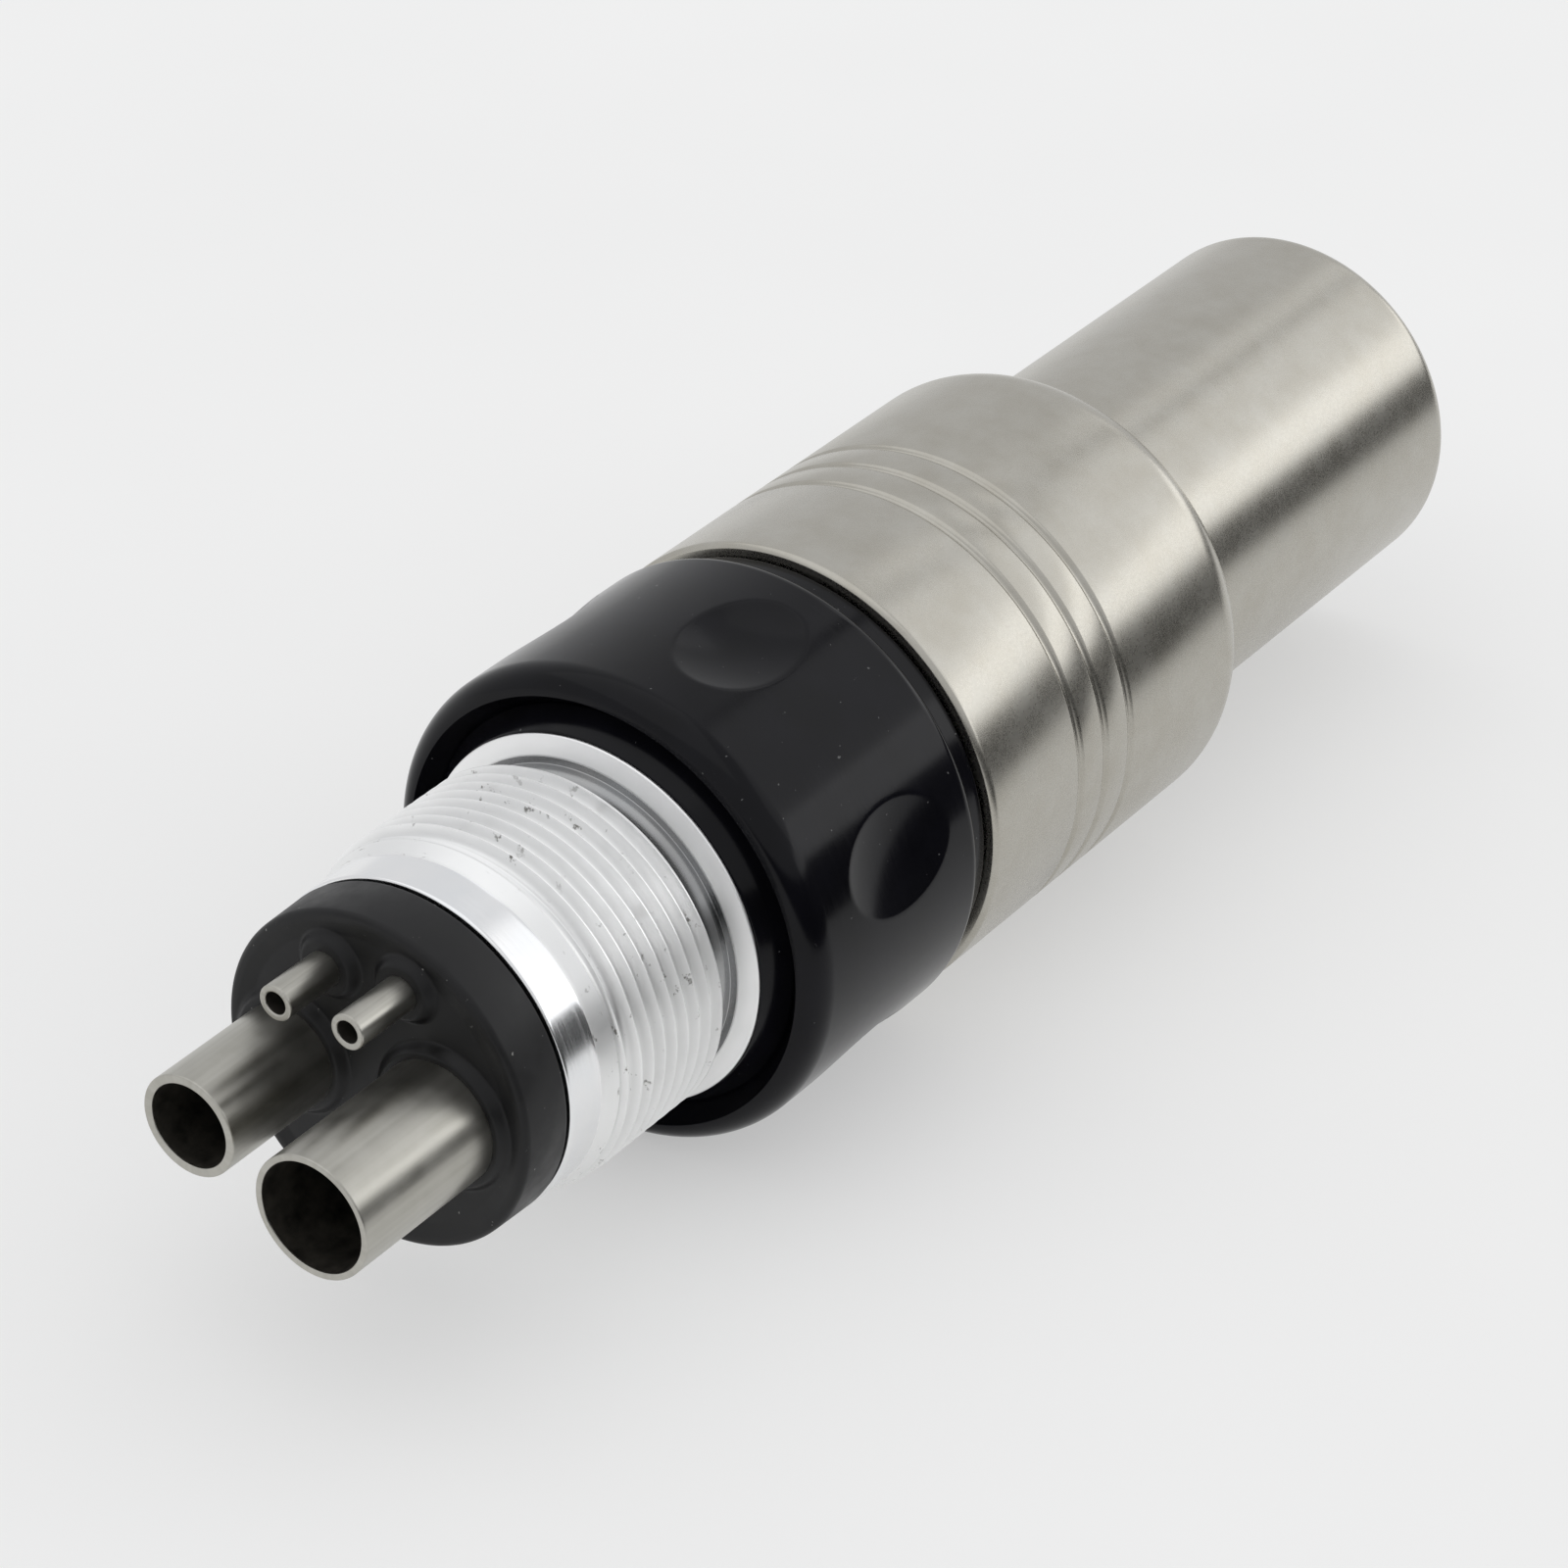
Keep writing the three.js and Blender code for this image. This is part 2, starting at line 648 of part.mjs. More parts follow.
function dogPin() {
  return spoke(DOG_PIN_STATION, 90, -DOG_R + 0.12, DOG_R - 0.12, DOG_PIN_R, 12);
}

function dogSpring() {
  const ends = [SPRING_SEAT[1] + 0.2, DOG[0] - 0.2];
  return toSolid(coil(...ends, DOG_SPRING_R, DOG_SPRING_WIRE_R, DOG_SPRING_TURNS));
}

function noseBarrel() {
  return turned([
    [NOSE_START, SEAL_POCKET_R],
    [NOSE_START, CASE_NECK_R - RUN_GAP],
    ...grooveOutline(NOSE_ORING_STATION, CASE_NECK_R - RUN_GAP),
    [NOSE_SHOULDER, CASE_NECK_R - RUN_GAP],
    [NOSE_SHOULDER, NOSE_R - 0.1],
    [NOSE_SHOULDER + 0.1, NOSE_R],
    ...rounded(NOSE_END - NOSE_ROUND, NOSE_R - NOSE_ROUND, NOSE_ROUND, NOSE_ROUND, 90, 0, 5),
    [NOSE_END, NOSE_BORE_R + 0.2],
    [NOSE_END - 0.2, NOSE_BORE_R],
    [NOSE_BORE_START, NOSE_BORE_R],
    [NOSE_BORE_START, NOSE_NECK_BORE_R],
    [SEAL_POCKET_END, NOSE_NECK_BORE_R],
    [SEAL_POCKET_END, SEAL_POCKET_R],
  ]);
}

function aroundShaft(range, outer) {
  return sleeve(...range, SHAFT_R + SLIDE_GAP, outer, SIDES);
}

// ---------- assembly ----------

const motor = new THREE.Group();
motor.position.set(-MID_STATION, 0, AXIS_HEIGHT);

function place(name, solid, finish) {
  const geometry = solid.isBufferGeometry ? solid : toGeometry(solid);
  const mesh = new THREE.Mesh(geometry, new THREE.MeshStandardMaterial(FINISHES[finish]));
  mesh.name = name;
  motor.add(mesh);
}

place('hose_gasket', hoseGasket(), 'rubber');
for (const [name, sizes] of Object.entries(TUBES)) {
  place(name, tube(sizes), 'tubeSteel');
}
place('connector_body', connectorBody(), 'chrome');
place('ring_retainer', ringRetainer(), 'glossBlack');

place('control_ring', controlRing(), 'glossBlack');
place('valve_core', valveCore(), 'bronze');
place('ring_oring_front', oring(FRONT_ORING_STATION, VALVE_R - ORING_DEPTH), 'rubber');
place('ring_oring_rear', oring(REAR_ORING_STATION, VALVE_R - ORING_DEPTH), 'rubber');
place('case_oring', oring(CASE_ORING_STATION, VALVE_SPIGOT_R - ORING_DEPTH), 'rubber');
place('exhaust_muffler', exhaustMuffler(), 'porous');
place('detent_ball', detentBall(), 'gearSteel');
place('detent_spring', detentSpring(), 'gearSteel');
place('case_spacer', caseSpacer(), 'glossBlack');

place('motor_case', motorCase(), 'satinSteel');
place('rear_end_plate', rearEndPlate(), 'gunmetal');
place('cylinder_liner', cylinderLiner(), 'gearSteel');
place('front_end_plate', frontEndPlate(), 'gunmetal');
place('locating_pin_rear', locatingPin(REAR_PIN), 'gearSteel');
place('locating_pin_front', locatingPin(FRONT_PIN), 'gearSteel');
place('preload_washer', sleeve(...WASHER, WASHER_BORE_R, WASHER_R), 'gearSteel');

const rearBearing = bearing(REAR_BEARING);
const frontBearing = bearing(FRONT_BEARING);
place('rear_bearing_outer', rearBearing.outer, 'gearSteel');
place('rear_bearing_inner', rearBearing.inner, 'gearSteel');
place('rear_bearing_balls', rearBearing.balls, 'gearSteel');
place('front_bearing_outer', frontBearing.outer, 'gearSteel');
place('front_bearing_inner', frontBearing.inner, 'gearSteel');
place('front_bearing_balls', frontBearing.balls, 'gearSteel');

place('rotor_shaft', rotorShaft(), 'gearSteel');
place('rotor', rotorDrum(), 'gunmetal');
for (let i = 0; i < VANE_COUNT; i += 1) {
  place(`vane_${i + 1}`, vane(i), 'vaneResin');
}
place('rotor_circlip', sleeve(...CIRCLIP, SHAFT_R + RUN_GAP / 2, CIRCLIP_R), 'gearSteel');
place('spring_seat', sleeve(...SPRING_SEAT, SHAFT_R + RUN_GAP / 2, SPRING_SEAT_R), 'gearSteel');

place('drive_dog', driveDog(), 'gearSteel');
place('dog_pin', dogPin(), 'gearSteel');
place('dog_spring', dogSpring(), 'gearSteel');

place('nose_barrel', noseBarrel(), 'satinSteel');
place('nose_oring', oring(NOSE_ORING_STATION, CASE_NECK_R - RUN_GAP - ORING_DEPTH), 'rubber');
place('shaft_seal', aroundShaft(SHAFT_SEAL, SEAL_POCKET_R - SLIDE_GAP), 'rubber');
place('nose_bushing', aroundShaft(BUSHING, NOSE_NECK_BORE_R - RUN_GAP / 2), 'bronze');

export default motor;
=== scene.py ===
"""Looks of an air-driven dental handpiece motor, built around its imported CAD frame."""

import json
import math

import bmesh
import bpy
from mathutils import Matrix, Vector


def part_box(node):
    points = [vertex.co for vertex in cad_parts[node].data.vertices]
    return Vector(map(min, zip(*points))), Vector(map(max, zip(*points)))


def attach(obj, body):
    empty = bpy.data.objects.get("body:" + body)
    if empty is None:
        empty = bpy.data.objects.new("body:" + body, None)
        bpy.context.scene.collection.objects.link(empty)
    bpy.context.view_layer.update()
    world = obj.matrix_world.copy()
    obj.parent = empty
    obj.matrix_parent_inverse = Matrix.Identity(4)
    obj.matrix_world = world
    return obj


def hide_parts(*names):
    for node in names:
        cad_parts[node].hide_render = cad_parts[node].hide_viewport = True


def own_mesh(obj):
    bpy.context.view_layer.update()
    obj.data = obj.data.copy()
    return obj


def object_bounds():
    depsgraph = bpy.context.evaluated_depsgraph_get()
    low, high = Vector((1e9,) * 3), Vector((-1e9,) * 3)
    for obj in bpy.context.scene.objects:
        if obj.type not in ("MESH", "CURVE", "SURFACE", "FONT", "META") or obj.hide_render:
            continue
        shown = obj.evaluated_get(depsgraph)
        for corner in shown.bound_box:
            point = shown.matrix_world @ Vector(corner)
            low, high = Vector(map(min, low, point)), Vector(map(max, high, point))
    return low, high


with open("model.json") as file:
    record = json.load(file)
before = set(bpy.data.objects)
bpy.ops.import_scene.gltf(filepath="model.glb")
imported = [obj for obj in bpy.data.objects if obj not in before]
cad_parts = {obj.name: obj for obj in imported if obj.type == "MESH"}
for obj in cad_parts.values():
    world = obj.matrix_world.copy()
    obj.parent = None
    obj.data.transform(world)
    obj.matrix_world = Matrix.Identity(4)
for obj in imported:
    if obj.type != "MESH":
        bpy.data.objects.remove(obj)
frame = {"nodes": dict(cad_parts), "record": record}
cad_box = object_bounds()

# ---------- the motor's axis, read from the frame ----------

MM = 0.001
TAU = 2 * math.pi
connector_low, connector_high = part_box("connector_body")
ring_low, ring_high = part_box("control_ring")
REAR_FACE = connector_low[0]
AXIS_Y = (ring_low[1] + ring_high[1]) / 2
AXIS_Z = (ring_low[2] + ring_high[2]) / 2


def station(node, end):
    """Mm along the axis from the connector's rear face to a node's low (0) or high (1) end."""
    return (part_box(node)[end][0] - REAR_FACE) / MM


def across(node):
    """A node's centre across the axis, in mm."""
    low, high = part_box(node)
    return ((low[1] + high[1]) / 2 - AXIS_Y) / MM, ((low[2] + high[2]) / 2 - AXIS_Z) / MM


# ---------- driving sizes: mm, stations along the axis from the connector's rear face ----------

# segments round a turned piece
FINE = 192
EXTRA_FINE = 240

# hose connector
BAND_R = 5.94
BAND_END = 1.5
CONE_END = 2.75
THREAD_START = 2.15
THREAD_END = 7.55
THREAD_PITCH = 0.6
THREAD_CREST_R = 6.35
THREAD_ROOT_R = 5.96
THREAD_CREST_WIDTH = 0.07
THREAD_BORE_R = 5.55
CORE_R = 5.6
UNDERCUT_R = 5.7
UNDERCUT_END = 8.6
FLANGE_FOOT_R = 5.98
FLANGE_R = 6.6
FLANGE_END = 8.95
SPIGOT_R = 6.0
SPIGOT_END = 11.9

# gasket in front of the connector, with a lip round each tube
GASKET_R = 5.85
GASKET_FACE = -2.1
GASKET_BACK = -0.1
GASKET_ROUND = 0.22
FACE_HOLLOW = 0.1
LIP_HEIGHT = 0.24
LIP_SLOPE = 0.34
SMALL_LIP_WIDTH = 0.62
LARGE_LIP_WIDTH = 0.5

# tubes: outer radius and bore radius
TUBES = {
    "exhaust_tube": (2.13, 1.9),
    "drive_air_tube": (1.77, 1.46),
    "water_tube": (0.61, 0.385),
    "chip_air_tube": (0.61, 0.385),
}
SMALL_TUBE_R = 1.0

# retaining collar, control ring and spacer
RETAINER_START = 8.98
RETAINER_SLOPE_END = 9.85
RETAINER_END = 10.45
RETAINER_R = 7.15
RETAINER_BORE_R = 6.15
RING_R = 8.5
RING_SEGMENTS = 600
RING_START = 9.3
RING_END = 18.7
RING_BORE_R = 7.3
RING_ROUND = 0.5
RIM_R = 7.7
RIM_LENGTH = 1.0
RING_LIP_START = 10.1
RING_LIP_END = 10.45
RING_LIP_R = 6.5
DIMPLE_COUNT = 6
DIMPLE_STATION = 14.45
DIMPLE_FIRST_ANGLE = math.radians(103)
DIMPLE_DEPTH = 0.38
DIMPLE_SWEEP_R = 9.65
DIMPLE_EDGE = 0.005
SPACER_START = 18.85
SPACER_END = 19.6
SPACER_R = 8.0

# motor case
CASE_R = 8.4
CASE_START = 19.74
CASE_BORE_R = 7.25
CASE_WALL_START = 33.95
CASE_NECK_R = 5.62
CASE_FACE_R = 6.95
CASE_ROUND = 1.5
CASE_END = 35.8
CASE_GROOVES = (24.9, 26.45, 28.0)
GROOVE_HALF_WIDTH = 0.19
GROOVE_DEPTH = 0.14

# nose barrel
NOSE_R = 6.65
NOSE_START = 34.0
NOSE_SPIGOT_R = 5.45
NOSE_SHOULDER = 35.9
NOSE_END = station("nose_barrel", 1)
NOSE_ROUND = 0.8
NOSE_BORE_R = 4.7
NOSE_BORE_START = 40.0
NOSE_BORE_EDGE = 0.2
NOSE_NECK_BORE_R = 2.5
SEAL_POCKET_R = 3.35
SEAL_POCKET_END = 35.4

# drive dog and its spring
DOG_START = 43.0
DOG_END = 48.6
DOG_R = 2.7
DOG_BORE_R = 1.82
DOG_BORE_END = 46.9
DOG_SLOT_START = 47.3
DOG_SLOT_WIDTH = 1.5
DOG_TIP_BORE_R = 0.9
DOG_VENT_R = 0.6
SPRING_START = 40.95
SPRING_END = 42.85
SPRING_R = 2.12
SPRING_WIRE_R = 0.13
SPRING_TURNS = 3.5

# ---------- mesh work ----------


def softened(outline, radius, closed=True, steps=4):
    """Rounds each corner of an outline, with a point beside each round so that flats shade flat."""
    count = len(outline)
    result = []
    for i, corner in enumerate(outline):
        if not closed and i in (0, count - 1):
            result.append(corner)
            continue
        before, here, after = (Vector(outline[(i + k) % count]) for k in (-1, 0, 1))
        back, ahead = before - here, after - here
        cut = min(radius, 0.3 * back.length, 0.3 * ahead.length)
        if back.angle(ahead, 0) > math.radians(165) or here.y < 1e-6:
            result.append(tuple(here))
            continue
        start, end = here + back.normalized() * cut, here + ahead.normalized() * cut
        result.append(tuple(here + back.normalized() * cut * 1.4))
        for step in range(steps + 1):
            t = step / steps
            result.append(tuple(start * (1 - t) ** 2 + here * 2 * t * (1 - t) + end * t**2))
        result.append(tuple(here + ahead.normalized() * cut * 1.4))
    return result


def arc(middle, radius, length, height, first, last, steps):
    """Part of an ellipse in an outline, in degrees: 0 is forward along the axis, 90 is outward."""
    angles = [math.radians(first + (last - first) * i / steps) for i in range(steps + 1)]
    return [(middle + length * math.cos(a), radius + height * math.sin(a)) for a in angles]


def on_axis(along, radius, angle):
    """A point at a station, a radius and an angle about the motor's axis, in metres."""
    y = AXIS_Y + radius * math.cos(angle) * MM
    z = AXIS_Z + radius * math.sin(angle) * MM
    return REAR_FACE + along * MM, y, z


def straight(first, last, steps):
    """Evenly spaced points from first to last."""
    return [tuple(Vector(first).lerp(Vector(last), i / steps)) for i in range(steps + 1)]


def revolved(name, outline, segments=FINE, centre=(0, 0), relief=None, closed=True):
    """A body turned about an axis along X. relief(station, radius, angle) may move a point."""
    mesh_work = bmesh.new()
    rings = []
    for along, radius in outline:
        turns = segments if radius > 1e-6 else 1
        ring = []
        for i in range(turns):
            angle = TAU * i / segments
            s, r = relief(along, radius, angle) if relief else (along, radius)
            y = centre[0] + r * math.cos(angle)
            z = centre[1] + r * math.sin(angle)
            ring.append(mesh_work.verts.new((REAR_FACE + s * MM, AXIS_Y + y * MM, AXIS_Z + z * MM)))
        rings.append(ring)
    pairs = list(zip(rings, rings[1:]))
    if closed and len(rings[0]) > 1:
        pairs.append((rings[-1], rings[0]))
    for low, high in pairs:
        for i in range(segments):
            j = (i + 1) % segments
            corners = [
                low[i % len(low)], low[j % len(low)],
                high[j % len(high)], high[i % len(high)],
            ]
            mesh_work.faces.new(list(dict.fromkeys(corners)))
    return finished(name, mesh_work)


def finished(name, mesh_work):
    """An object from a bmesh, smooth but for its sharp edges."""
    bmesh.ops.recalc_face_normals(mesh_work, faces=mesh_work.faces)
    mesh = bpy.data.meshes.new(name)
    mesh_work.to_mesh(mesh)
    mesh_work.free()
    mesh.shade_smooth()
    mesh.set_sharp_from_angle(angle=math.radians(35))
    piece = bpy.data.objects.new(name, mesh)
    bpy.context.collection.objects.link(piece)
    return piece


def fit(piece, body, nodes, material):
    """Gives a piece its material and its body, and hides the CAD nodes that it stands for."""
    piece.data.materials.append(material)
    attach(piece, body)
    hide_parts(*nodes)
    return piece


def smooth_min(a, b, blend):
    """The lesser of two values, rounded where they cross."""
    return 0.5 * (a + b - math.sqrt((a - b) ** 2 + 4 * blend**2))


# ---------- materials ----------


class Shader:
    """A node material under construction, with short calls for the nodes that it needs."""

    def __init__(self, name, **inputs):
        self.material = bpy.data.materials.new(name)
        self.material.use_nodes = True
        self.tree = self.material.node_tree
        self.surface = self.tree.nodes["Principled BSDF"]
        for socket, value in inputs.items():
            self.surface.inputs[socket.replace("_", " ")].default_value = value
        self.place = self.tree.nodes.new("ShaderNodeTexCoord").outputs["Object"]

    def link(self, source, target):
        self.tree.links.new(source, target)

    def math(self, operation, a, b=None):
        node = self.tree.nodes.new("ShaderNodeMath")
        node.operation = operation
        for socket, value in zip(node.inputs, (a, b)):
            if isinstance(value, bpy.types.NodeSocket):
                self.link(value, socket)
            elif value is not None:
                socket.default_value = value
        return node.outputs[0]

    def offsets(self, centre=(0, 0)):
        """X in mm, and y and z in mm from a centre on the motor's axis or beside it."""
        split = self.tree.nodes.new("ShaderNodeSeparateXYZ")
        self.link(self.place, split.inputs[0])
        origin = (0.0, AXIS_Y + centre[0] * MM, AXIS_Z + centre[1] * MM)
        pairs = zip(split.outputs, origin)
        away = [self.math("SUBTRACT", output, start) for output, start in pairs]
        return [self.math("MULTIPLY", distance, 1 / MM) for distance in away]

    def turned_place(self, along, around, centre=(0, 0)):
        """Noise coordinates for turned marks: scaled mm along an axis, and a circle round it."""
        x, y, z = self.offsets(centre)
        angle = self.math("ARCTAN2", z, y)
        join = self.tree.nodes.new("ShaderNodeCombineXYZ")
        self.link(self.math("MULTIPLY", x, along), join.inputs[0])
        self.link(self.math("MULTIPLY", self.math("COSINE", angle), around), join.inputs[1])
        self.link(self.math("MULTIPLY", self.math("SINE", angle), around), join.inputs[2])
        return join.outputs[0]

    def from_axis(self):
        """Mm outward from the motor's axis."""
        _, y, z = self.offsets()
        squares = [self.math("MULTIPLY", value, value) for value in (y, z)]
        return self.math("SQRT", self.math("ADD", *squares))

    def noise(self, place, scale, detail=3.0, roughness=0.5):
        node = self.tree.nodes.new("ShaderNodeTexNoise")
        self.link(place, node.inputs["Vector"])
        node.inputs["Scale"].default_value = scale
        node.inputs["Detail"].default_value = detail
        node.inputs["Roughness"].default_value = roughness
        return node.outputs["Fac"]

    def ramp(self, factor, *stops):
        """Maps a factor through (position, colour or grey value) stops."""
        node = self.tree.nodes.new("ShaderNodeValToRGB")
        self.link(factor, node.inputs["Fac"])
        ramp = node.color_ramp
        while len(ramp.elements) < len(stops):
            ramp.elements.new(1.0)
        for element, (position, value) in zip(ramp.elements, stops):
            element.position = position
            is_grey = isinstance(value, (int, float))
            element.color = (value, value, value, 1) if is_grey else (*value, 1)
        return node.outputs["Color"]

    def mix(self, factor, a, b):
        """A blend of two colours."""
        node = self.tree.nodes.new("ShaderNodeMix")
        node.data_type = "RGBA"
        for socket, value in ((node.inputs[0], factor), (node.inputs[6], a), (node.inputs[7], b)):
            if isinstance(value, bpy.types.NodeSocket):
                self.link(value, socket)
            else:
                socket.default_value = (*value, 1)
        return node.outputs[2]

    def colour(self, source):
        self.link(source, self.surface.inputs["Base Color"])

    def roughness(self, source):
        self.link(source, self.surface.inputs["Roughness"])

    def bump(self, height, strength, depth, under=None):
        """Bumps of a depth in mm, on top of an earlier bump where there is one."""
        node = self.tree.nodes.new("ShaderNodeBump")
        node.inputs["Strength"].default_value = strength
        node.inputs["Distance"].default_value = depth * MM
        self.link(height, node.inputs["Height"])
        if under:
            self.link(under, node.inputs["Normal"])
        self.link(node.outputs["Normal"], self.surface.inputs["Normal"])
        return node.outputs["Normal"]


def satin_steel():
    """Stainless steel with a fine blasted grain over faint turning marks."""
    s = Shader("satin_stainless", Metallic=1.0)
    grain = s.noise(s.place, 9000, 2)
    cloud = s.noise(s.place, 700, 4, 0.6)
    turning = s.noise(s.turned_place(16, 1.2), 1, 3)
    shade = s.ramp(cloud, (0.3, (0.44, 0.42, 0.37)), (0.7, (0.49, 0.475, 0.43)))
    s.colour(s.mix(s.ramp(grain, (0.4, 0.0), (0.75, 0.12)), shade, (0.38, 0.365, 0.33)))
    texture = s.math("MULTIPLY", s.math("ADD", grain, cloud), 0.5)
    s.roughness(s.ramp(texture, (0.3, 0.24), (0.7, 0.31)))
    s.bump(turning, 0.06, 0.006)
    return s.material


def bright_aluminium(name, crest_tone, shaded_root_tone):
    """Bright plated aluminium with painted shade that darkens it from the crests down into the
    thread's roots, and dark specks where the thread is worn.
    """
    s = Shader(name, Metallic=1.0)
    turning = s.noise(s.turned_place(30, 0.8), 1, 2)
    cloud = s.noise(s.place, 900, 3)
    above_root = s.math("SUBTRACT", s.from_axis(), THREAD_ROOT_R)
    height = s.math("DIVIDE", above_root, THREAD_CREST_R - THREAD_ROOT_R)
    specks = s.ramp(s.noise(s.turned_place(5, 11), 1, 4, 0.65), (0.31, 1.0), (0.38, 0.0))
    patch = s.ramp(s.noise(s.place, 420, 2), (0.42, 0.0), (0.56, 1.0))
    on_thread = s.math("LESS_THAN", s.offsets()[0], REAR_FACE / MM + THREAD_END)
    worn = s.math("MULTIPLY", specks, s.math("MULTIPLY", patch, on_thread))
    # painted shade: the colour darkens from the crest tone to a darker tone as the surface drops
    # towards the thread's roots
    shaded_root = (shaded_root_tone, shaded_root_tone * 1.005, shaded_root_tone)
    crest = (crest_tone, crest_tone, crest_tone)
    painted_root_shade = s.ramp(height, (0.35, shaded_root), (0.95, crest))
    clean = s.mix(s.ramp(cloud, (0.3, 0.0), (0.7, 0.3)), painted_root_shade, shaded_root)
    s.colour(s.mix(worn, clean, (0.2, 0.19, 0.175)))
    s.roughness(s.ramp(cloud, (0.3, 0.36), (0.7, 0.46)))
    s.bump(turning, 0.06, 0.006)
    return s.material


def polished_aluminium(name, tone):
    """The smooth band and undercut beside the thread, nearly a mirror; the undercut's copy is given
    a darker tone as painted shade in its recess.
    """
    s = Shader(name, Metallic=1.0)
    turning = s.noise(s.turned_place(24, 0.6), 1, 2)
    cloud = s.noise(s.place, 600, 3)
    cool = (tone * 0.95, tone * 0.965, tone * 0.98)
    s.colour(s.ramp(cloud, (0.3, cool), (0.7, (tone, tone, tone))))
    s.roughness(s.ramp(turning, (0.3, 0.17), (0.7, 0.25)))
    s.bump(turning, 0.05, 0.005)
    return s.material


def tube_steel(name, centre):
    """Drawn stainless tube with streaks along it."""
    s = Shader(name, Metallic=1.0)
    drawn = s.noise(s.turned_place(0.12, 10, centre), 1, 1)
    cloud = s.noise(s.place, 900, 2)
    tint = s.ramp(cloud, (0.3, (0.4, 0.39, 0.35)), (0.7, (0.46, 0.45, 0.41)))
    s.colour(s.mix(s.ramp(drawn, (0.35, 0.0), (0.75, 0.35)), tint, (0.56, 0.55, 0.51)))
    s.roughness(s.ramp(cloud, (0.3, 0.29), (0.7, 0.36)))
    return s.material


def tube_bore():
    """The inside of a tube, painted near black as shade, and mottled."""
    s = Shader("tube_bore", Metallic=0.6)
    mottle = s.noise(s.place, 1500, 5, 0.65)
    s.colour(s.ramp(mottle, (0.3, (0.012, 0.011, 0.009)), (0.8, (0.07, 0.062, 0.05))))
    s.roughness(s.ramp(mottle, (0.3, 0.55), (0.7, 0.8)))
    s.bump(mottle, 0.4, 0.03)
    return s.material


def gloss_black():
    """Gloss black anodising, a little rubbed and dusty."""
    s = Shader("gloss_black", Specular_IOR_Level=0.17)
    dust = s.ramp(s.noise(s.place, 5200, 2, 0.4), (0.76, 0.0), (0.8, 1.0))
    cloud = s.noise(s.place, 500, 3)
    rub = s.noise(s.turned_place(22, 2.5), 1, 3)
    black = s.ramp(cloud, (0.3, (0.002, 0.002, 0.003)), (0.7, (0.004, 0.004, 0.006)))
    s.colour(s.mix(dust, black, (0.1, 0.1, 0.1)))
    s.roughness(s.ramp(rub, (0.3, 0.13), (0.7, 0.2)))
    return s.material


def rubber(name, grey):
    """Moulded black rubber, rubbed and dusty."""
    s = Shader(name, Specular_IOR_Level=0.28)
    cloud = s.noise(s.place, 800, 5, 0.6)
    dust = s.ramp(s.noise(s.place, 4200, 2, 0.5), (0.74, 0.0), (0.79, 1.0))
    dark, light = (grey, grey, grey * 1.1), (grey * 2.2, grey * 2.2, grey * 2.4)
    base = s.ramp(cloud, (0.35, dark), (0.75, light))
    s.colour(s.mix(dust, base, (0.2, 0.2, 0.19)))
    s.roughness(s.ramp(cloud, (0.3, 0.36), (0.7, 0.55)))
    s.bump(s.noise(s.place, 6000, 2), 0.12, 0.006, under=s.bump(cloud, 0.2, 0.02))
    return s.material


def plain_finish(name, dark, light, low, high, metallic, scale=900):
    """A finish for the inner pieces: two tints, uneven gloss and light turning marks."""
    s = Shader(name, Metallic=metallic)
    cloud = s.noise(s.place, scale, 4)
    turning = s.noise(s.turned_place(14, 1.0), 1, 2)
    s.colour(s.ramp(cloud, (0.3, dark), (0.7, light)))
    s.roughness(s.ramp(turning, (0.3, low), (0.7, high)))
    s.bump(turning, 0.15, 0.01)
    return s.material


SATIN = satin_steel()
# the second tone of each is the painted shade in the thread's roots
ALUMINIUM = bright_aluminium("bright_aluminium", 0.94, 0.9)
THREADED = bright_aluminium("threaded_aluminium", 0.98, 0.84)
POLISHED = polished_aluminium("polished_aluminium", 0.9)
# darker copy of the polished finish, painted shade for the recess of the undercut
SHADED_UNDERCUT = polished_aluminium("undercut_aluminium_painted_shade", 0.45)
BORE = tube_bore()
BLACK = gloss_black()
RUBBER = rubber("black_rubber", 0.005)
GEAR_STEEL = plain_finish("ground_steel", (0.4, 0.4, 0.41), (0.55, 0.55, 0.56), 0.2, 0.34, 1.0)
DARK_STEEL = plain_finish("dark_ground_steel", (0.2, 0.2, 0.21), (0.3, 0.3, 0.31), 0.3, 0.45, 1.0)
DARK_BRASS = plain_finish(
    "blackened_brass", (0.03, 0.026, 0.02), (0.05, 0.044, 0.035), 0.3, 0.45, 1.0
)
POROUS = plain_finish("sintered_polymer", (0.6, 0.57, 0.48), (0.8, 0.77, 0.68), 0.7, 0.9, 0.0, 5000)
LAMINATE = plain_finish("vane_laminate", (0.12, 0.06, 0.03), (0.2, 0.1, 0.055), 0.5, 0.7, 0.0, 2500)
FINISHES = {
    "rubber": rubber("seal_rubber", 0.02),
    "gear_steel": GEAR_STEEL,
    "end_plate_steel": DARK_STEEL,
    "brass": DARK_BRASS,
    "porous_polymer": POROUS,
    "vane_resin": LAMINATE,
}

# ---------- hose end ----------


